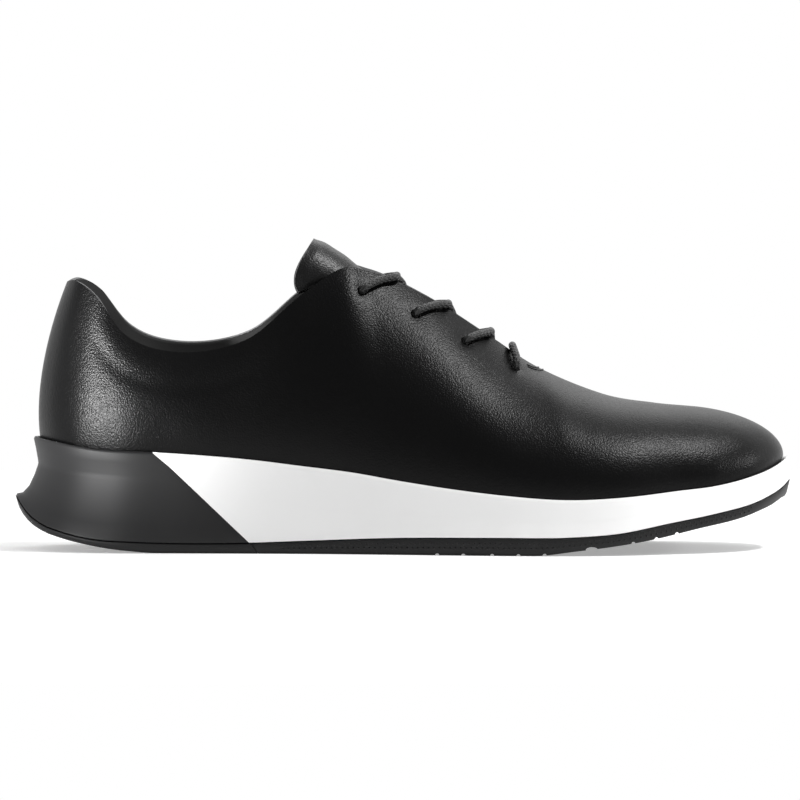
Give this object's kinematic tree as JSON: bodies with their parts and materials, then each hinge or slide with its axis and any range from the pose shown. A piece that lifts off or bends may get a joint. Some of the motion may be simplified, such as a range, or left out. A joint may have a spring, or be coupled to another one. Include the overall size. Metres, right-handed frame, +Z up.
{
  "type": "golf shoe",
  "caption": "Low laced leather golf shoe for the right foot with a cupped foam midsole, a hard heel clip, a grooved spikeless outsole and a padded tongue.",
  "frame": {"origin": "centre of the bottom of the shoe's bounding box, on the surface that the shoe stands on", "axes": "+X to the toe, +Y to the medial side, +Z up"},
  "size_m": [0.3026, 0.1102, 0.1216],
  "materials": {
    "upper_leather": "smooth, waxed, fine grain",
    "lining": "soft matt",
    "midsole": "matt moulded foam",
    "outsole": "satin moulded",
    "heel_clip": "satin moulded",
    "shank": "spring steel",
    "board": "pressed fibre",
    "foam": "open-cell foam",
    "stiffener": "impregnated felt",
    "lace": "waxed round braid",
    "aglet": "glossy"
  },
  "bodies": {
    "shoe": {"outsole_forefoot": "outsole", "outsole_heel": "outsole", "midsole": "midsole", "heel_clip": "heel_clip", "shank": "shank", "lasting_board": "board", "footbed": "foam", "footbed_cover": "lining", "upper": "upper_leather", "heel_counter": "stiffener", "toe_puff": "stiffener", "collar_foam": "foam", "facing_reinforcement_lateral": "stiffener", "facing_reinforcement_medial": "stiffener", "quarter_lining": "lining", "vamp_lining": "lining", "lace": "lace", "lace_tail_lateral": "lace", "lace_tail_medial": "lace", "aglet_lateral": "aglet", "aglet_medial": "aglet"},
    "tongue": {"tongue_leather": "upper_leather", "tongue_foam": "foam", "tongue_lining": "lining"}
  },
  "joints": [
    {"name": "tongue_hinge", "type": "hinge", "parent": "shoe", "child": "tongue", "pos_m": [0.0555, 0, 0.0595], "axis": [0, -1, 0], "range_deg": [0, 15]}
  ]
}
